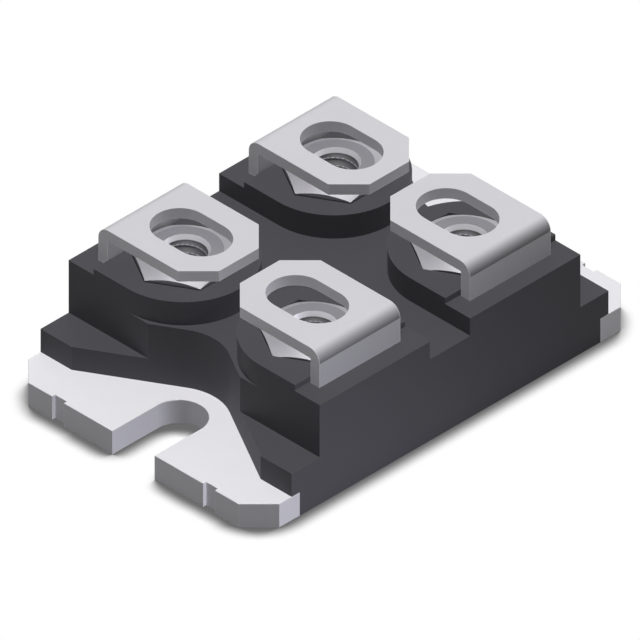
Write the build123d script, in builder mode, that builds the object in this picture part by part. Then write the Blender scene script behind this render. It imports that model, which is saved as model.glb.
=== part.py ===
from build123d import *
from math import cos, radians, sin, tan
import os

# Base plate: copper sheet, nickel plated
plate_length = 38.1
plate_width = 25.04
plate_thickness = 2.04
plate_corner_chamfer = 2.03
plate_edge_radius = 0.05
mounting_slot_width = 4.2
mounting_slot_centre = 14.5
tie_bar_notch_width = 1.15
tie_bar_notch_depth = 0.3
tie_bar_notch_centre = 7.53
side_lock_inset = 0.8
side_lock_depth = 0.75

# Housing: epoxy moulded round everything that sits on the plate
foot_length = 31.6
foot_height = 2.0
block_height = 3.01
pedestal_radius = 5.5
pedestal_height = 2.02
pedestal_shift = 0.16
ledge_drop = 0.5
ledge_lead = 0.1
end_recess_radius = 4.15
end_recess_shift = 0.65
end_recess_flare = 30.0

# Terminals: four plated copper straps, folded over the nuts
screw_pitch_length = 15.0
screw_pitch_width = 12.76
terminal_lift = 1.63
terminal_sheet = 0.9
terminal_width = 8.05
terminal_leg_wall = 0.18
terminal_tip_chamfer = 2.05
terminal_bend_radius = 0.1
terminal_slot_width = 4.3
terminal_slot_length = 6.6
terminal_slot_shift = 0.6
shoulder_depth = 1.2
leg_width = 3.6
foot_flat = 2.2

# Captive nuts: M4 hexagon nuts, the front pair seated a little deeper than the back pair
nut_across_flats = 7.0
nut_height = 3.2
nut_face_diameter = 5.5
nut_bevel_angle = 30.0
nut_bore = 3.24
nut_countersink = 3.9
nut_countersink_depth = 0.24
nut_side_clearance = 0.07
back_nut_rise = 0.81
front_nut_rise = 0.56
screw_end_diameter = 4.6
screw_end_depth = 1.6

# Insulating substrate: ceramic with copper bonded to both faces
solder_thickness = 0.1
bonded_copper = 0.3
ceramic_thickness = 0.63
ceramic_side_lap = 0.27
copper_margin = 0.5
copper_lip = 0.2
island_gap = 0.8
island_margin = 0.5
gate_island_length = 5.3
gate_arm_width = 1.2
gate_arm_lip = 0.9
terminal_solder_margin = 0.15

# Transistor dies and bond wires
die_end_margin = 0.7
die_thickness = 0.22
die_gap = 1.4
die_solder_margin = 0.15
source_wire_diameter = 0.38
gate_wire_diameter = 0.25
source_wires_per_die = 4
source_wire_pitch = 1.6
wire_press = 0.04
wire_foot = 0.7
wire_loop_height = 1.2
gate_wire_loop_height = 0.7
wire_inset = 0.25
gate_wire_offset = 1.6

# Levels above the underside of the plate
substrate_base = plate_thickness + solder_thickness
ceramic_base = substrate_base + bonded_copper
ceramic_top = ceramic_base + ceramic_thickness
island_top = ceramic_top + bonded_copper
die_base = island_top + solder_thickness
die_top = die_base + die_thickness
foot_top = plate_thickness + foot_height
block_top = foot_top + block_height
pedestal_top = block_top + pedestal_height
ledge_top = pedestal_top - ledge_drop
terminal_top = pedestal_top + terminal_lift + terminal_sheet

# Places in plan, from the screws outwards
screw_x = screw_pitch_length / 2
screw_y = screw_pitch_width / 2
block_length = screw_pitch_length + 2 * pedestal_radius
pedestal_y = screw_y + pedestal_shift
terminal_tip = pedestal_y - pedestal_radius
terminal_slot_centre = screw_y - terminal_slot_shift
leg_inner = screw_y + nut_across_flats / 2 + nut_side_clearance + terminal_leg_wall
terminal_reach = leg_inner + terminal_sheet
ledge_start = leg_inner - ledge_lead
side_lock_length = foot_length - 2 * side_lock_inset
end_recess_centre = mounting_slot_centre + end_recess_shift
copper_length = screw_pitch_length + leg_width + 2 * copper_lip
ceramic_length = copper_length + 2 * copper_margin
ceramic_width = 2 * (leg_inner + ceramic_side_lap)
copper_width = ceramic_width - 2 * copper_margin
island_edge = screw_x - leg_width / 2 - island_margin
drain_edge = island_edge - island_gap
die_length = 2 * (drain_edge - die_end_margin)
die_width = (copper_width - 3 * die_gap) / 2
die_y = (die_gap + die_width) / 2

CORNERS = {
    "source": (-1, -1),
    "drain": (1, -1),
    "gate": (1, 1),
    "source_sense": (-1, 1),
}

os.makedirs("parts", exist_ok=True)


def keep(piece, name):
    piece.part.label = name
    export_step(piece.part, f"parts/{name}.step")


def plan_at(corner, height):
    """Level plane whose x is zero at that corner's screw and whose y points out to its long side."""
    side_x, side_y = corner
    return Plane(origin=(side_x * screw_x, 0, height), x_dir=(side_y, 0, 0), z_dir=(0, 0, 1))


def section_at(corner):
    """Upright plane through that corner's screw, with x pointing out to its long side."""
    side_x, side_y = corner
    return Plane(origin=(side_x * screw_x, 0, 0), x_dir=(0, side_y, 0), z_dir=(side_y, 0, 0))


# Base plate: corners cut at 45 degrees, an open slot for a mounting screw at each end
with BuildPart() as base_plate:
    with BuildSketch():
        Rectangle(plate_length, plate_width)
        chamfer(vertices(), plate_corner_chamfer)
        slot_run = plate_length / 2 - mounting_slot_centre
        for end in (-1, 1):
            with Locations((end * mounting_slot_centre, 0)):
                Circle(mounting_slot_width / 2, mode=Mode.SUBTRACT)
            with Locations((end * (mounting_slot_centre + slot_run / 2), 0)):
                Rectangle(slot_run, mounting_slot_width, mode=Mode.SUBTRACT)
            with Locations(
                (end * plate_length / 2, tie_bar_notch_centre),
                (end * plate_length / 2, -tie_bar_notch_centre),
            ):
                Rectangle(2 * tie_bar_notch_depth, tie_bar_notch_width, mode=Mode.SUBTRACT)
        with Locations((0, plate_width / 2), (0, -plate_width / 2)):
            Rectangle(side_lock_length, 2 * side_lock_depth, mode=Mode.SUBTRACT)
    extrude(amount=plate_thickness)
    rims = base_plate.faces().filter_by(Axis.Z).edges()
    fillet(rims, plate_edge_radius)
keep(base_plate, "base_plate")

# Substrate stack: solder, lower copper and ceramic, each a plain sheet
with BuildPart() as substrate_solder:
    with BuildSketch(Plane.XY.offset(plate_thickness)):
        Rectangle(copper_length, copper_width)
    extrude(amount=solder_thickness)
keep(substrate_solder, "substrate_solder")

with BuildPart() as lower_copper:
    with BuildSketch(Plane.XY.offset(substrate_base)):
        Rectangle(copper_length, copper_width)
    extrude(amount=bonded_copper)
keep(lower_copper, "lower_copper")

with BuildPart() as ceramic_substrate:
    with BuildSketch(Plane.XY.offset(ceramic_base)):
        Rectangle(ceramic_length, ceramic_width)
    extrude(amount=ceramic_thickness)
keep(ceramic_substrate, "ceramic_substrate")

# Copper islands on the ceramic: etched apart, one each for source, gate and drain
outer_island_width = copper_length / 2 - island_edge
gate_floor = copper_width / 2 - gate_island_length
gate_arm_end = -gate_wire_offset - gate_arm_lip
drain_tab_length = gate_arm_end - island_gap + copper_width / 2

with BuildPart() as source_island:
    with BuildSketch(Plane.XY.offset(ceramic_top)):
        with Locations((-island_edge, 0)):
            Rectangle(outer_island_width, copper_width, align=(Align.MAX, Align.CENTER))
    extrude(amount=bonded_copper)
keep(source_island, "source_island")

with BuildPart() as gate_island:
    with BuildSketch(Plane.XY.offset(ceramic_top)):
        with Locations((island_edge, gate_floor)):
            Rectangle(outer_island_width, gate_island_length, align=(Align.MIN, Align.MIN))
        with Locations((island_edge, gate_arm_end)):
            Rectangle(gate_arm_width, gate_floor - gate_arm_end, align=(Align.MIN, Align.MIN))
    extrude(amount=bonded_copper)
keep(gate_island, "gate_island")

with BuildPart() as drain_island:
    with BuildSketch(Plane.XY.offset(ceramic_top)):
        Rectangle(2 * drain_edge, copper_width)
        with Locations((drain_edge, -copper_width / 2)):
            Rectangle(copper_length / 2 - drain_edge, drain_tab_length, align=(Align.MIN, Align.MIN))
    extrude(amount=bonded_copper)
keep(drain_island, "drain_island")

islands = [source_island, gate_island, drain_island]

# Dies: two transistors side by side on the drain island, soldered down
dies = []
die_solders = []
for number, side in ((1, -1), (2, 1)):
    with BuildPart() as die_solder:
        with BuildSketch(Plane.XY.offset(island_top)):
            with Locations((0, side * die_y)):
                Rectangle(die_length + 2 * die_solder_margin, die_width + 2 * die_solder_margin)
        extrude(amount=solder_thickness)
    keep(die_solder, f"die_solder_{number}")
    die_solders.append(die_solder)

    with BuildPart() as die:
        with BuildSketch(Plane.XY.offset(die_base)):
            with Locations((0, side * die_y)):
                Rectangle(die_length, die_width)
        extrude(amount=die_thickness)
    keep(die, f"mosfet_die_{number}")
    dies.append(die)


def bond_wire(y, start_x, end_x, diameter, rise):
    """Wire looped from the die's top at start_x to an island at end_x, its two feet pressed flat."""
    radius = diameter / 2
    way = 1 if end_x > start_x else -1
    start = (start_x, die_top + radius - wire_press)
    end = (end_x, island_top + radius - wire_press)
    crest = die_top + rise
    with BuildPart() as wire:
        with BuildLine(Plane.XZ.offset(-y)) as path:
            FilletPolyline(
                start,
                (start[0] + way * wire_foot, start[1]),
                (start[0] + way * (wire_foot + rise), crest),
                (end[0] - way * (wire_foot + rise), crest),
                (end[0] - way * wire_foot, end[1]),
                end,
                radius=2 * radius,
            )
        with BuildSketch(Plane(origin=path.line @ 0, z_dir=path.line % 0)):
            Circle(radius)
        sweep()
        for seat in dies + islands:
            add(seat.part, mode=Mode.SUBTRACT)
    return wire


# Bond wires: thick ones from each die's face to the source island, a thin one to the gate island
wires = []
gate_pad = die_length / 2 - wire_inset - wire_foot
landing = island_edge + wire_inset + wire_foot
wire_count = 0
for side in (-1, 1):
    for step in range(source_wires_per_die):
        wire_count += 1
        y = side * die_y + (step - (source_wires_per_die - 1) / 2) * source_wire_pitch
        wire = bond_wire(y, 0, -landing, source_wire_diameter, wire_loop_height)
        keep(wire, f"source_wire_{wire_count}")
        wires.append(wire)
for number, side in ((1, -1), (2, 1)):
    y = side * gate_wire_offset
    wire = bond_wire(y, gate_pad, landing, gate_wire_diameter, gate_wire_loop_height)
    keep(wire, f"gate_wire_{number}")
    wires.append(wire)

# Terminals: a strap rises from its island, leaves the housing and folds over its nut
foot_level = island_top + solder_thickness
foot_end = leg_inner - terminal_bend_radius - foot_flat
shoulder = ledge_top - shoulder_depth
terminals = []
terminal_solders = []
for name, corner in CORNERS.items():
    with BuildPart() as terminal:
        with BuildSketch(section_at(corner)):
            with BuildLine():
                FilletPolyline(
                    (foot_end, foot_level),
                    (terminal_reach, foot_level),
                    (terminal_reach, terminal_top),
                    (terminal_tip, terminal_top),
                    radius=terminal_bend_radius + terminal_sheet,
                )
                offset(amount=terminal_sheet, side=Side.LEFT, closed=True)
            make_face()
        extrude(amount=terminal_width / 2, both=True)
        # The tip's corners and the obround screw slot are stamped from above
        with BuildSketch(plan_at(corner, terminal_top)):
            with Locations((0, terminal_slot_centre)):
                SlotOverall(terminal_slot_length, terminal_slot_width, rotation=90)
        extrude(amount=-2 * terminal_sheet, mode=Mode.SUBTRACT)
        tip = terminal.edges().filter_by(Axis.Z).group_by(Axis.Y)[0 if corner[1] > 0 else -1]
        chamfer(tip, terminal_tip_chamfer)
        # Below the shoulder the leg and its foot are narrower
        with BuildSketch(plan_at(corner, foot_level)):
            for cheek in (-1, 1):
                with Locations((cheek * (leg_width + terminal_width) / 4, terminal_reach)):
                    Rectangle(
                        (terminal_width - leg_width) / 2,
                        terminal_reach - foot_end,
                        align=(Align.CENTER, Align.MAX),
                    )
        extrude(amount=shoulder - foot_level, mode=Mode.SUBTRACT)
    keep(terminal, f"{name}_terminal")
    terminals.append(terminal)

    with BuildPart() as terminal_solder:
        with BuildSketch(plan_at(corner, island_top)):
            with Locations((0, foot_end)):
                Rectangle(
                    leg_width + 2 * terminal_solder_margin,
                    copper_width / 2 - foot_end,
                    align=(Align.CENTER, Align.MIN),
                )
        extrude(amount=solder_thickness)
    keep(terminal_solder, f"{name}_terminal_solder")
    terminal_solders.append(terminal_solder)

# Nuts: bevelled hexagons with a countersunk bore, loose in their pockets
nut_corner = nut_across_flats / 2 / cos(radians(30))
bevel_run = nut_corner - nut_face_diameter / 2
bevel_drop = bevel_run * tan(radians(nut_bevel_angle))
nut_seats = {
    1: pedestal_top + back_nut_rise - nut_height,
    -1: pedestal_top + front_nut_rise - nut_height,
}
for name, corner in CORNERS.items():
    nut_seat = nut_seats[corner[1]]
    with BuildPart() as nut:
        with BuildSketch(plan_at(corner, nut_seat)):
            with Locations((0, screw_y)):
                RegularPolygon(nut_across_flats / 2, 6, major_radius=False)
        extrude(amount=nut_height)
        with BuildSketch(section_at(corner)):
            with BuildLine():
                Polyline(
                    (screw_y, nut_seat),
                    (screw_y + nut_face_diameter / 2, nut_seat),
                    (screw_y + nut_corner, nut_seat + bevel_drop),
                    (screw_y + nut_corner, nut_seat + nut_height - bevel_drop),
                    (screw_y + nut_face_diameter / 2, nut_seat + nut_height),
                    (screw_y, nut_seat + nut_height),
                    close=True,
                )
            make_face()
        screw_axis = Axis((corner[0] * screw_x, corner[1] * screw_y, 0), (0, 0, 1))
        revolve(axis=screw_axis, mode=Mode.INTERSECT)
        with BuildSketch(section_at(corner)):
            with BuildLine():
                Polyline(
                    (screw_y, nut_seat),
                    (screw_y + nut_countersink / 2, nut_seat),
                    (screw_y + nut_bore / 2, nut_seat + nut_countersink_depth),
                    (screw_y + nut_bore / 2, nut_seat + nut_height - nut_countersink_depth),
                    (screw_y + nut_countersink / 2, nut_seat + nut_height),
                    (screw_y, nut_seat + nut_height),
                    close=True,
                )
            make_face()
        revolve(axis=screw_axis, mode=Mode.SUBTRACT)
    keep(nut, f"{name}_nut")

# Housing: a foot on the plate, a block, and a pedestal with a hexagonal pocket under each terminal
with BuildPart() as housing:
    with BuildSketch(Plane.XY.offset(plate_thickness)):
        Rectangle(foot_length, plate_width)
    extrude(amount=foot_height)
    with BuildSketch():
        for side in (-1, 1):
            with Locations((0, side * (plate_width - side_lock_depth) / 2)):
                Rectangle(side_lock_length, side_lock_depth + 2 * plate_edge_radius)
        Rectangle(side_lock_length, plate_width, mode=Mode.INTERSECT)
    extrude(amount=plate_thickness)
    with BuildSketch(Plane.XY.offset(foot_top)):
        Rectangle(block_length, plate_width)
    extrude(amount=block_height)
    for corner in CORNERS.values():
        with BuildSketch(plan_at(corner, block_top)):
            with Locations((0, pedestal_y)):
                Circle(pedestal_radius)
                Rectangle(
                    2 * pedestal_radius,
                    plate_width / 2 - pedestal_y,
                    align=(Align.CENTER, Align.MIN),
                )
        extrude(amount=pedestal_height)
        with BuildSketch(plan_at(corner, ledge_top)):
            with Locations((0, ledge_start)):
                Rectangle(
                    2 * pedestal_radius,
                    plate_width / 2 - ledge_start,
                    align=(Align.CENTER, Align.MIN),
                )
        extrude(amount=ledge_drop, mode=Mode.SUBTRACT)
    # A flared recess at each end clears the head of the mounting screw
    for end in (-1, 1):
        with BuildSketch(Plane((0, 0, plate_thickness), x_dir=(end, 0, 0))):
            with BuildLine():
                back = CenterArc(
                    (end_recess_centre, 0),
                    end_recess_radius,
                    180 - end_recess_flare,
                    2 * end_recess_flare,
                )
                rim_run = (foot_length - 2 * (back @ 0).X) / 2 / sin(radians(end_recess_flare))
                upper = PolarLine(back @ 0, rim_run, angle=90 - end_recess_flare)
                lower = PolarLine(back @ 1, rim_run, angle=end_recess_flare - 90)
                Line(upper @ 1, lower @ 1)
            make_face()
        extrude(amount=pedestal_top - plate_thickness, mode=Mode.SUBTRACT)
    for corner in CORNERS.values():
        nut_seat = nut_seats[corner[1]]
        with BuildSketch(plan_at(corner, nut_seat)):
            with Locations((0, screw_y)):
                RegularPolygon(
                    nut_across_flats / 2 + nut_side_clearance, 6, major_radius=False
                )
        extrude(amount=pedestal_top - nut_seat, mode=Mode.SUBTRACT)
        with BuildSketch(plan_at(corner, nut_seat)):
            with Locations((0, screw_y)):
                Circle(screw_end_diameter / 2)
        extrude(amount=-screw_end_depth, mode=Mode.SUBTRACT)
    # The epoxy fills every space between the pieces that it holds
    held = [base_plate, substrate_solder, lower_copper, ceramic_substrate]
    held += islands + die_solders + dies + wires + terminals + terminal_solders
    for piece in held:
        add(piece.part, mode=Mode.SUBTRACT)
keep(housing, "housing")
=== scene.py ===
from math import cos, pi, radians, sin, tan

import bmesh
import bpy
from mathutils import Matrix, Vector


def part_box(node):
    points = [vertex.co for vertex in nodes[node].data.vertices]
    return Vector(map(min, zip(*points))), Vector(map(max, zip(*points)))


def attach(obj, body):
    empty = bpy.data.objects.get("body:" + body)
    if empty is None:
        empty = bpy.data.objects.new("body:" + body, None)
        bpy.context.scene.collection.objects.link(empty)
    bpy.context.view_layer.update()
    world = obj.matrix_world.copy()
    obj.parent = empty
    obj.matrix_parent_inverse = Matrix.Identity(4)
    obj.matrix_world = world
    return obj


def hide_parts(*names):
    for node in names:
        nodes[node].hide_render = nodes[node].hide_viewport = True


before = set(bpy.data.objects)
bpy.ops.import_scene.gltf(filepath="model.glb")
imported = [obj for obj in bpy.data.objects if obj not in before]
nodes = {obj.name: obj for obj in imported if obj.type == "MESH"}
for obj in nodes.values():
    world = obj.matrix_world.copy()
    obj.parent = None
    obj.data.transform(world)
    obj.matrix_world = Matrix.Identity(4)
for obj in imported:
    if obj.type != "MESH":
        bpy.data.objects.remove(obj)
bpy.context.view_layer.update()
MM = 0.001


# Base plate: stamped from 2 mm copper sheet and nickel plated.
# Its broad faces keep the faint lines of the rolling mill under the satin plating,
# and its sheared edges are rougher, and painted darker as shade on its upright sides.
CLOUD_SHARE = 0.6
LINE_STRETCH = (0.03, 1.0, 1.0)
# Cosines between a face and its rounded edge, where the edge line starts and where it is full
EDGE_LINE_START = 0.995
EDGE_LINE_FULL = 0.9


def new_group(name, inputs, outputs):
    """Empty shader node group; its sockets are plain numbers with these names."""
    group = bpy.data.node_groups.new(name, "ShaderNodeTree")
    for side, labels in (("INPUT", inputs), ("OUTPUT", outputs)):
        for label in labels:
            group.interface.new_socket(label, in_out=side, socket_type="NodeSocketFloat")
    group.nodes.new("NodeGroupInput").name = "in"
    group.nodes.new("NodeGroupOutput").name = "out"
    return group


def add_node(tree, kind, settings=(), values=(), links=()):
    """Adds one node; values and links set its inputs by name or number."""
    node = tree.nodes.new(kind)
    for key, value in dict(settings).items():
        setattr(node, key, value)
    for key, value in dict(values).items():
        node.inputs[key].default_value = value
    for key, source in dict(links).items():
        tree.links.new(source, node.inputs[key])
    return node


def do_math(tree, operation, first, second=0.0):
    """One Math node; either side is a socket or a plain number."""
    node = tree.nodes.new("ShaderNodeMath")
    node.operation = operation
    for place, side in enumerate((first, second)):
        if isinstance(side, (int, float)):
            node.inputs[place].default_value = side
        else:
            tree.links.new(side, node.inputs[place])
    return node.outputs[0]


def make_mottle_group():
    """Two sizes of soft noise: Tone goes from 0 to 1, and Height is for a bump."""
    group = new_group("surface_mottle", ["Cloud scale", "Grain scale"], ["Tone", "Height"])
    start, end = group.nodes["in"], group.nodes["out"]
    place = add_node(group, "ShaderNodeTexCoord").outputs["Object"]
    cloud = add_node(
        group, "ShaderNodeTexNoise", values={"Detail": 4.0},
        links={"Vector": place, "Scale": start.outputs["Cloud scale"]},
    )
    grain = add_node(
        group, "ShaderNodeTexNoise", values={"Detail": 3.0, "Roughness": 0.6},
        links={"Vector": place, "Scale": start.outputs["Grain scale"]},
    )
    broad = do_math(group, "MULTIPLY", cloud.outputs["Fac"], CLOUD_SHARE)
    fine = do_math(group, "MULTIPLY", grain.outputs["Fac"], 1.0 - CLOUD_SHARE)
    group.links.new(do_math(group, "ADD", broad, fine), end.inputs["Tone"])
    group.links.new(grain.outputs["Fac"], end.inputs["Height"])
    return group


def make_rolling_group():
    """Long fine lines along X, as a rolling mill leaves them: Line goes from 0 to 1."""
    group = new_group("rolling_lines", ["Scale"], ["Line"])
    start, end = group.nodes["in"], group.nodes["out"]
    place = add_node(group, "ShaderNodeTexCoord").outputs["Object"]
    stretch = add_node(
        group, "ShaderNodeMapping", values={"Scale": LINE_STRETCH}, links={"Vector": place}
    )
    lines = add_node(
        group, "ShaderNodeTexNoise", values={"Detail": 2.0},
        links={"Vector": stretch.outputs[0], "Scale": start.outputs["Scale"]},
    )
    group.links.new(lines.outputs["Fac"], end.inputs["Line"])
    return group


def make_edge_group():
    """Edge is 1 on a thin line along edges: wear on the moulding, painted highlight and polish on
    metal.
    """
    group = new_group("edge_wear_and_highlight", ["Radius"], ["Edge"])
    start, end = group.nodes["in"], group.nodes["out"]
    rounded = add_node(
        group, "ShaderNodeBevel", {"samples": 6}, links={"Radius": start.outputs["Radius"]}
    )
    facing = add_node(group, "ShaderNodeNewGeometry").outputs["Normal"]
    agree = add_node(
        group, "ShaderNodeVectorMath", {"operation": "DOT_PRODUCT"},
        links={0: rounded.outputs[0], 1: facing},
    )
    edge = add_node(
        group, "ShaderNodeMapRange",
        values={"From Min": EDGE_LINE_START, "From Max": EDGE_LINE_FULL, "To Min": 0.0, "To Max": 1.0},
        links={"Value": agree.outputs["Value"]},
    )
    group.links.new(edge.outputs[0], end.inputs["Edge"])
    return group


mottle = make_mottle_group()
rolling = make_rolling_group()
edges = make_edge_group()


def new_material(name, **values):
    """Material with a Principled BSDF whose plain inputs are given by name."""
    material = bpy.data.materials.new(name)
    material.use_nodes = True
    shader = material.node_tree.nodes["Principled BSDF"]
    for key, value in values.items():
        shader.inputs[key.replace("_", " ")].default_value = value
    return material, material.node_tree, shader


def use_group(tree, group, **values):
    """Places a node group in a material with its own values."""
    node = tree.nodes.new("ShaderNodeGroup")
    node.node_tree = group
    for key, value in values.items():
        node.inputs[key.replace("_", " ")].default_value = value
    return node


def between(tree, factor, low, high):
    """Maps a 0 to 1 value to the range from low to high."""
    node = add_node(
        tree, "ShaderNodeMapRange", values={"To Min": low, "To Max": high}, links={"Value": factor}
    )
    return node.outputs[0]


def blend_colours(tree, factor, first, second):
    """Mixes two colours by a mask; either colour is a socket or three numbers."""
    node = add_node(tree, "ShaderNodeMix", {"data_type": "RGBA"}, links={"Factor": factor})
    for key, side in ((6, first), (7, second)):
        if isinstance(side, tuple):
            node.inputs[key].default_value = (*side, 1.0)
        else:
            tree.links.new(side, node.inputs[key])
    return node.outputs[2]


def add_bump(tree, shader, height, strength, distance):
    """Lets a height from 0 to 1 raise the surface by up to the distance."""
    bump = add_node(
        tree, "ShaderNodeBump", values={"Strength": strength, "Distance": distance},
        links={"Height": height},
    )
    tree.links.new(bump.outputs[0], shader.inputs["Normal"])


def facing_parts(tree):
    """The X, Y and Z parts of the direction that a face looks in."""
    facing = add_node(tree, "ShaderNodeNewGeometry").outputs["Normal"]
    return add_node(tree, "ShaderNodeSeparateXYZ", links={0: facing}).outputs


# A face whose direction has less Z than this stands upright
UPRIGHT_TO = 0.5


def upright(tree):
    """Mask of faces that stand upright: 1 there, 0 on level ones."""
    slant = do_math(tree, "ABSOLUTE", facing_parts(tree)["Z"])
    return do_math(tree, "LESS_THAN", slant, UPRIGHT_TO)


# A face that looks up more than this is bend, and a leg takes this share of the painted shade
BEND_FROM = 0.03
LEG_SHADE_SHARE = 0.46


def bend_and_leg_shade(tree):
    """Mask of painted shade on faces turned towards Y: full on a bend, less on the leg below it.
    """
    parts = facing_parts(tree)
    turned = do_math(tree, "MULTIPLY", parts["Y"], parts["Y"])
    on_bend = do_math(tree, "GREATER_THAN", parts["Z"], BEND_FROM)
    return do_math(tree, "MULTIPLY", turned, between(tree, on_bend, LEG_SHADE_SHARE, 1.0))


# Colours of the cut edges: painted darker than the broad faces, as shade on the upright sides
SHEARED_SHADED_DARK = (0.56, 0.554, 0.582)
SHEARED_SHADED_LIGHT = (0.64, 0.634, 0.662)
SHEARED_ROUGHER = 0.12
# Colour of the painted shade on the bends and legs of the straps
BEND_SHADE_NICKEL = (0.13, 0.128, 0.136)
# Colour of the painted highlight along the edges, partly polish from handling
POLISHED_NICKEL_HIGHLIGHT = (0.86, 0.86, 0.88)


def make_nickel(name, sheared_and_shaded, dark, light):
    """Satin nickel plate; the mask function picks the cut edges: rougher, and painted darker as
    shade.
    """
    material, tree, shader = new_material(name, Metallic=0.1, Specular_IOR_Level=0.3)
    tone = use_group(tree, mottle, Cloud_scale=250.0, Grain_scale=7000.0).outputs["Tone"]
    line = use_group(tree, rolling, Scale=5000.0).outputs["Line"]
    mask = sheared_and_shaded(tree)
    broad = blend_colours(tree, tone, dark, light)
    broad = blend_colours(tree, bend_and_leg_shade(tree), broad, BEND_SHADE_NICKEL)
    cut = blend_colours(tree, tone, SHEARED_SHADED_DARK, SHEARED_SHADED_LIGHT)
    colour = blend_colours(tree, mask, broad, cut)
    # A painted highlight along the edges, partly polish from handling
    polish_and_highlight = use_group(tree, edges, Radius=0.06 * MM).outputs["Edge"]
    colour = blend_colours(tree, polish_and_highlight, colour, POLISHED_NICKEL_HIGHLIGHT)
    tree.links.new(colour, shader.inputs["Base Color"])
    satin = between(tree, line, low=0.56, high=0.68)
    rougher = do_math(tree, "MULTIPLY", mask, SHEARED_ROUGHER)
    tree.links.new(do_math(tree, "ADD", satin, rougher), shader.inputs["Roughness"])
    add_bump(tree, shader, line, strength=0.12, distance=0.01 * MM)
    return material


def wear(node_name, material):
    """Gives a CAD node its finish."""
    piece = nodes[node_name]
    piece.data.materials.clear()
    piece.data.materials.append(material)


# The plate's nickel is painted lighter than the straps' to make up for the shade of the housing
nickel_plate_lit_copy = make_nickel(
    "nickel_on_plate_painted_lighter", upright, dark=(0.82, 0.81, 0.84), light=(0.9, 0.89, 0.92)
)
wear("base_plate", nickel_plate_lit_copy)


# Isolating stack: tin solder, copper sheet and white alumina, sealed inside the moulding.
# The solder is dull and pitted, the copper is bare with a rosy mottle,
# and the fired ceramic is almost even.
GRAINS_PER_CLOUD = 20


def make_plain(name, dark, light, metallic, low_rough, high_rough, cloud_scale, depth):
    """A one-piece material: its tone, roughness and a fine bump vary over the surface."""
    material, tree, shader = new_material(name, Metallic=metallic)
    grain_scale = cloud_scale * GRAINS_PER_CLOUD
    cloud = use_group(tree, mottle, Cloud_scale=cloud_scale, Grain_scale=grain_scale)
    colour = blend_colours(tree, cloud.outputs["Tone"], dark, light)
    tree.links.new(colour, shader.inputs["Base Color"])
    rough = between(tree, cloud.outputs["Tone"], low_rough, high_rough)
    tree.links.new(rough, shader.inputs["Roughness"])
    add_bump(tree, shader, cloud.outputs["Height"], strength=0.3, distance=depth)
    return material


solder = make_plain(
    "dull_solder", dark=(0.5, 0.5, 0.52), light=(0.66, 0.66, 0.67), metallic=0.9,
    low_rough=0.4, high_rough=0.6, cloud_scale=600.0, depth=0.02 * MM,
)
copper = make_plain(
    "bare_copper", dark=(0.72, 0.38, 0.26), light=(0.84, 0.5, 0.37), metallic=1.0,
    low_rough=0.25, high_rough=0.4, cloud_scale=300.0, depth=0.005 * MM,
)
alumina = make_plain(
    "fired_alumina", dark=(0.86, 0.86, 0.83), light=(0.93, 0.93, 0.9), metallic=0.0,
    low_rough=0.4, high_rough=0.5, cloud_scale=400.0, depth=0.004 * MM,
)
wear("substrate_solder", solder)
wear("lower_copper", copper)
wear("ceramic_substrate", alumina)
for island in ("source", "gate", "drain"):
    wear(f"{island}_island", copper)


# Dies and bond wires: two silicon dies soldered to the drain island.
# Their faces are metallised grey, and drawn aluminium wires run from them
# to the source and gate islands.
silicon = make_plain(
    "die_metal", dark=(0.24, 0.25, 0.28), light=(0.32, 0.33, 0.37), metallic=0.6,
    low_rough=0.15, high_rough=0.3, cloud_scale=500.0, depth=0.002 * MM,
)
bond_wire = make_plain(
    "drawn_aluminium", dark=(0.78, 0.78, 0.8), light=(0.88, 0.88, 0.89), metallic=1.0,
    low_rough=0.25, high_rough=0.35, cloud_scale=800.0, depth=0.003 * MM,
)
for node_name in nodes:
    if node_name.startswith("mosfet_die"):
        wear(node_name, silicon)
    elif node_name.startswith("die_solder"):
        wear(node_name, solder)
    elif "_wire_" in node_name:
        wear(node_name, bond_wire)


# Terminals: stamped copper straps, nickel plated like the base plate.
# The rolled faces follow each strap over its bend, and the punched slot,
# the tip and the two long sides are sheared edges.
CORNERS = ("source", "drain", "gate", "source_sense")
# Nearer to the middle line than this, an upright face belongs to the tip or the slot
LEG_INNER = 10.0 * MM
# A face whose direction has more X than this is one of the long sides
SIDE_FROM = 0.3


def strap_edges(tree):
    """Mask of a strap's sheared edges, painted darker as shade: its two sides, its tip and its
    slot wall.
    """
    sideways = do_math(tree, "ABSOLUTE", facing_parts(tree)["X"])
    side = do_math(tree, "GREATER_THAN", sideways, SIDE_FROM)
    place = add_node(tree, "ShaderNodeTexCoord").outputs["Object"]
    where = add_node(tree, "ShaderNodeSeparateXYZ", links={0: place})
    outward = do_math(tree, "ABSOLUTE", where.outputs["Y"])
    on_top = do_math(tree, "LESS_THAN", outward, LEG_INNER)
    return do_math(tree, "MAXIMUM", side, do_math(tree, "MULTIPLY", upright(tree), on_top))


nickel_strap = make_nickel(
    "nickel_on_strap", strap_edges, dark=(0.64, 0.633, 0.665), light=(0.7, 0.693, 0.725)
)
for corner in CORNERS:
    wear(f"{corner}_terminal", nickel_strap)
    wear(f"{corner}_terminal_solder", solder)


# Captive nuts: M4 hexagon nuts in zinc-plated steel, cold formed and tapped.
# Each lies loose in its pocket under the terminal, with bevelled corners,
# a countersunk mouth at both faces and a true screw thread.
FACE_RADIUS = 2.75 * MM
BEVEL_SLOPE = tan(radians(30))
THREAD_PITCH = 0.7 * MM
CREST_RADIUS = 1.62 * MM
THREAD_DEPTH = 0.379 * MM
# Half widths of the flat crest and the flat root, in pitches
CREST_HALF_WIDTH = 0.08
ROOT_HALF_WIDTH = 0.0625
MOUTH_RADIUS = 1.8 * MM
MOUTH_DEPTH = 0.38 * MM
THREAD_FADE = 0.08 * MM
CREST_WEAR = 0.004 * MM
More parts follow.
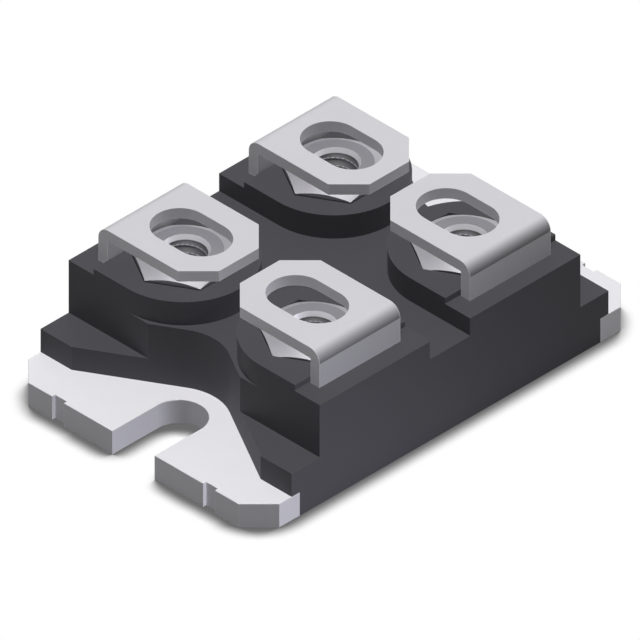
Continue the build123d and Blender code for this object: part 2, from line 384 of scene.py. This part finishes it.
# The crest passes this far below the top face, at this angle round the bore
CREST_DROP = 0.84 * MM
CREST_ANGLE = radians(45)
TURN_STEPS = 144
BORE_ROWS = 128
MOUTH_ROWS = 14
SHARP_FROM = radians(25)
# Bands of the nut: bevels, crests and mouth painted lighter as highlight, the thread darker as
# shade
FORGED, BEVEL_AND_CREST_HIGHLIGHT, THREAD_SHADE, MOUTH_HIGHLIGHT = range(4)


def thread_radius(angle, drop, height):
    """Radius of the bore at this angle and this far below the top face."""
    phase = (drop - CREST_DROP) / THREAD_PITCH + (angle - CREST_ANGLE) / (2 * pi)
    from_crest = abs(phase - round(phase))
    flank = (from_crest - CREST_HALF_WIDTH) / (0.5 - CREST_HALF_WIDTH - ROOT_HALF_WIDTH)
    to_face = min(drop, height - drop)
    run_in = min(max((to_face - MOUTH_DEPTH) / THREAD_FADE, 0.0), 1.0)
    cut = THREAD_DEPTH * min(max(flank, 0.0), 1.0) * run_in
    mouth = MOUTH_RADIUS - (MOUTH_RADIUS - CREST_RADIUS) * to_face / MOUTH_DEPTH
    return max(CREST_RADIUS + cut, mouth)


def nut_section(angle, height, half_flats):
    """Radius and level of each ring at this angle: up the bore, then down the outside."""
    section = []
    for row in range(BORE_ROWS + 1):
        drop = height * (1 - row / BORE_ROWS)
        section.append((thread_radius(angle, drop, height), -drop))
    outer = half_flats / cos(angle % (pi / 3) - pi / 6)
    bevel = (outer - FACE_RADIUS) * BEVEL_SLOPE
    section += [(FACE_RADIUS, 0.0), (outer, -bevel)]
    section += [(outer, bevel - height), (FACE_RADIUS, -height)]
    return section


def make_nut(corner):
    """One nut in the place of the source's plain one; each band's zinc colour paints in its light
    and shade.
    """
    low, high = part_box(f"{corner}_nut")
    centre = (low + high) / 2
    height = high.z - low.z
    half_flats = (high.y - low.y) / 2
    angles = [2 * pi * step / TURN_STEPS for step in range(TURN_STEPS)]
    sections = [nut_section(angle, height, half_flats) for angle in angles]

    form = bmesh.new()
    loops = []
    for ring in zip(*sections):
        loop = []
        for angle, (radius, level) in zip(angles, ring):
            spot = (centre.x + radius * cos(angle), centre.y + radius * sin(angle), high.z + level)
            loop.append(form.verts.new(spot))
        loops.append(loop)
    # After the bore come the top face, its bevel, the six sides, the lower bevel and face
    cuts = [THREAD_SHADE] * (BORE_ROWS - MOUTH_ROWS) + [MOUTH_HIGHLIGHT] * MOUTH_ROWS
    cuts += [FORGED, BEVEL_AND_CREST_HIGHLIGHT, FORGED, BEVEL_AND_CREST_HIGHLIGHT, FORGED]
    for first, second, cut in zip(loops, loops[1:] + loops[:1], cuts):
        for step in range(TURN_STEPS):
            after = (step + 1) % TURN_STEPS
            face = form.faces.new((first[step], second[step], second[after], first[after]))
            # Crest faces take the bevels' lighter zinc as a painted highlight
            at_crest = (first[step].co.xy - centre.xy).length < CREST_RADIUS + CREST_WEAR
            face.material_index = BEVEL_AND_CREST_HIGHLIGHT if at_crest else cut
    bmesh.ops.recalc_face_normals(form, faces=form.faces)
    mesh = bpy.data.meshes.new(f"{corner}_nut_tapped")
    form.to_mesh(mesh)
    form.free()
    mesh.shade_smooth()
    mesh.set_sharp_from_angle(angle=SHARP_FROM)
    nut = bpy.data.objects.new(f"{corner}_nut_tapped", mesh)
    bpy.context.scene.collection.objects.link(nut)
    return nut


# Colour of the painted highlight along the nut's edges, partly polish
POLISHED_ZINC_HIGHLIGHT = (0.7, 0.69, 0.72)
OIL_AND_SHADE_REACH = 0.6 * MM
# Oil and painted shade, thin then thick: the openness where it is full, where it ends, its colour
OIL_AND_SHADE_LAYERS = (
    (0.45, 0.7, (0.05, 0.049, 0.053)),
    (0.3, 0.5, (0.01, 0.01, 0.012)),
)


def make_zinc(name, dark, light):
    """Bright zinc; its hollows are painted dark, partly as oil of the tapping and partly as shade.
    """
    material, tree, shader = new_material(name, Metallic=0.25)
    cloud = use_group(tree, mottle, Cloud_scale=350.0, Grain_scale=7000.0)
    colour = blend_colours(tree, cloud.outputs["Tone"], dark, light)
    # A painted highlight along the edges, partly polish
    polish_and_highlight = use_group(tree, edges, Radius=0.03 * MM).outputs["Edge"]
    colour = blend_colours(tree, polish_and_highlight, colour, POLISHED_ZINC_HIGHLIGHT)
    hollow = add_node(
        tree, "ShaderNodeAmbientOcclusion", {"samples": 12}, {"Distance": OIL_AND_SHADE_REACH}
    )
    # Painted shade in the hollows, partly oil from the tapping
    for full, end, oil_and_shade_colour in OIL_AND_SHADE_LAYERS:
        oil_and_shade = add_node(
            tree, "ShaderNodeMapRange",
            values={"From Min": full, "From Max": end, "To Min": 1.0, "To Max": 0.0},
            links={"Value": hollow.outputs["AO"]},
        )
        colour = blend_colours(tree, oil_and_shade.outputs[0], colour, oil_and_shade_colour)
    tree.links.new(colour, shader.inputs["Base Color"])
    rough = between(tree, cloud.outputs["Tone"], low=0.42, high=0.54)
    tree.links.new(rough, shader.inputs["Roughness"])
    add_bump(tree, shader, cloud.outputs["Height"], strength=0.3, distance=0.002 * MM)
    return material


# One zinc in four bands, in order: forged faces; bevels and crests, painted highlight;
# thread, painted shade; mouth, painted highlight
finishes = (
    make_zinc("zinc_as_forged", dark=(0.26, 0.256, 0.28), light=(0.31, 0.305, 0.33)),
    make_zinc("zinc_bevel_painted_highlight", dark=(0.42, 0.413, 0.443), light=(0.5, 0.493, 0.523)),
    make_zinc("zinc_thread_painted_shade", dark=(0.065, 0.064, 0.07), light=(0.09, 0.088, 0.097)),
    make_zinc("zinc_mouth_painted_highlight", dark=(0.8, 0.79, 0.83), light=(0.9, 0.89, 0.93)),
)
for corner in CORNERS:
    nut = make_nut(corner)
    for finish in finishes:
        nut.data.materials.append(finish)
    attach(nut, "root")
    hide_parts(f"{corner}_nut")


# Housing: black epoxy with mineral filler, moulded round all the other pieces.
# The mould leaves a fine even grain, slightly glossier on the crests,
# and handling rubs the edges a little paler.
EPOXY_DARK = (0.074, 0.072, 0.081)
EPOXY_LIGHT = (0.088, 0.086, 0.095)
RUBBED_EPOXY = (0.12, 0.12, 0.125)


def make_epoxy():
    """Matt black moulding compound with a fine grain and rubbed edges."""
    material, tree, shader = new_material("black_epoxy", Specular_IOR_Level=0.06)
    cloud = use_group(tree, mottle, Cloud_scale=160.0, Grain_scale=9000.0)
    body = blend_colours(tree, cloud.outputs["Tone"], EPOXY_DARK, EPOXY_LIGHT)
    rubbed = use_group(tree, edges, Radius=0.05 * MM).outputs["Edge"]
    body = blend_colours(tree, rubbed, body, RUBBED_EPOXY)
    tree.links.new(body, shader.inputs["Base Color"])
    rough = between(tree, cloud.outputs["Tone"], low=0.45, high=0.62)
    tree.links.new(rough, shader.inputs["Roughness"])
    add_bump(tree, shader, cloud.outputs["Height"], strength=0.35, distance=0.01 * MM)
    return material


wear("housing", make_epoxy())


# Studio: a plain white floor that keeps a short contact shadow, a white surround,
# and lamps overhead, to the left and to the right that throw no shadow of their own.
FLOOR_HALF = 1.0
FLOOR_DROP = 0.01 * MM
SHADOW_REACH = 2.0 * MM
# The floor looks up with this lean, so the shadow falls towards the near corner
SHADOW_LEAN = (0.4, 0.31, 0.86)
# The openness where the shadow is full and where it ends, and the brightness in it
SHADOW_FULL = 0.4
SHADOW_END = 0.886
SHADOW_TONE = 0.145
FLOOR_GREY = (0.12, 0.12, 0.12, 1.0)

floor_mesh = bpy.data.meshes.new("floor")
floor_mesh.from_pydata(
    [
        (x * FLOOR_HALF, y * FLOOR_HALF, -FLOOR_DROP)
        for x, y in ((-1, -1), (1, -1), (1, 1), (-1, 1))
    ],
    [], [(0, 1, 2, 3)],
)
floor = bpy.data.objects.new("floor", floor_mesh)
bpy.context.scene.collection.objects.link(floor)


def seen_directly(tree):
    """1 for rays from the camera or from a gloss or glass surface, else 0."""
    path = add_node(tree, "ShaderNodeLightPath")
    seen = do_math(
        tree, "MAXIMUM", path.outputs["Is Camera Ray"], path.outputs["Is Glossy Ray"]
    )
    return do_math(tree, "MAXIMUM", seen, path.outputs["Is Transmission Ray"])


def make_floor():
    """White wherever it is seen, with the soft shadow; to the object it is dull grey."""
    material = bpy.data.materials.new("white_floor")
    material.use_nodes = True
    tree = material.node_tree
    tree.nodes.remove(tree.nodes["Principled BSDF"])
    lean = add_node(tree, "ShaderNodeCombineXYZ", values=dict(zip("XYZ", SHADOW_LEAN)))
    near = add_node(
        tree, "ShaderNodeAmbientOcclusion", {"samples": 32},
        {"Distance": SHADOW_REACH}, {"Normal": lean.outputs[0]},
    )
    brightness = add_node(
        tree, "ShaderNodeMapRange", {"interpolation_type": "SMOOTHSTEP"},
        {"From Min": SHADOW_FULL, "From Max": SHADOW_END, "To Min": SHADOW_TONE, "To Max": 1.0},
        {"Value": near.outputs["AO"]},
    )
    glow = add_node(
        tree, "ShaderNodeEmission", links={"Strength": brightness.outputs[0]}
    )
    matte = add_node(tree, "ShaderNodeBsdfDiffuse", values={"Color": FLOOR_GREY})
    mix = add_node(
        tree, "ShaderNodeMixShader",
        links={0: seen_directly(tree), 1: matte.outputs[0], 2: glow.outputs[0]},
    )
    tree.links.new(mix.outputs[0], tree.nodes["Material Output"].inputs["Surface"])
    return material


floor_mesh.materials.append(make_floor())

AMBIENT_COLOUR = (0.97, 0.98, 1.0, 1.0)
AMBIENT_STRENGTH = 0.06
SURROUND_WHITE = (1.0, 1.0, 1.0, 1.0)

world = bpy.data.worlds.new("white_surround")
world.use_nodes = True
sky = world.node_tree
ambient = sky.nodes["Background"]
ambient.inputs["Color"].default_value = AMBIENT_COLOUR
ambient.inputs["Strength"].default_value = AMBIENT_STRENGTH
white = add_node(
    sky, "ShaderNodeBackground", values={"Color": SURROUND_WHITE, "Strength": 1.0}
)
surround = add_node(
    sky, "ShaderNodeMixShader",
    links={0: seen_directly(sky), 1: ambient.outputs[0], 2: white.outputs[0]},
)
sky.links.new(surround.outputs[0], sky.nodes["World Output"].inputs["Surface"])
bpy.context.scene.world = world


def hang_lamp(name, kind, towards, **settings):
    """Lamp that shines from the direction towards, without shadows."""
    data = bpy.data.lights.new(name, kind)
    data.use_shadow = False
    for key, value in settings.items():
        setattr(data, key, value)
    lamp = bpy.data.objects.new(name, data)
    lamp.rotation_mode = "QUATERNION"
    lamp.rotation_quaternion = (-Vector(towards)).to_track_quat("-Z", "Y")
    bpy.context.scene.collection.objects.link(lamp)
    return lamp


# Where each lamp hangs, how bright it makes a white face turned to it, and its spread in degrees
for name, towards, share, spread in (
    ("overhead_lamp", (0.0, 0.0, 1.0), 0.79, 30),
    ("left_lamp", (-1.0, 0.15, 0.0), 0.14, 60),
    ("right_lamp", (1.0, -1.0, 0.0), 0.17, 30),
):
    hang_lamp(name, "SUN", towards, energy=share * pi, angle=radians(spread))

# A low lamp on the right grazes the long side. It is aimed past the near left corner,
# so its light fades towards the right.
GRAZE_TARGET = Vector((-40.0, -12.52, -10.0)) * MM
GRAZE_WAY = Vector((1.0, -1.0, 0.0)).normalized()
GRAZE_DISTANCE = 250 * MM
grazing = hang_lamp(
    "side_lamp", "SPOT", GRAZE_WAY, energy=1.6, color=(0.95, 0.95, 1.1),
    spot_size=radians(21), spot_blend=1.0, shadow_soft_size=10 * MM,
)
grazing.location = GRAZE_TARGET + GRAZE_WAY * GRAZE_DISTANCE


# Camera: the photograph's exact isometric view, without perspective.
CAMERA_SCALE = 45.13 * MM
CAMERA_TARGET = Vector((-0.065, 0.385, 3.0)) * MM
CAMERA_DISTANCE = 150 * MM

camera_data = bpy.data.cameras.new("camera")
camera_data.type = "ORTHO"
camera_data.ortho_scale = CAMERA_SCALE
camera_data.clip_start = 1 * MM
camera_data.clip_end = 3.0
camera = bpy.data.objects.new("camera", camera_data)
back = Vector((-1.0, -1.0, 1.0)).normalized()
camera.location = CAMERA_TARGET + back * CAMERA_DISTANCE
camera.rotation_mode = "QUATERNION"
camera.rotation_quaternion = (-back).to_track_quat("-Z", "Y")
bpy.context.scene.collection.objects.link(camera)
bpy.context.scene.camera = camera
bpy.context.scene.view_settings.view_transform = "Standard"
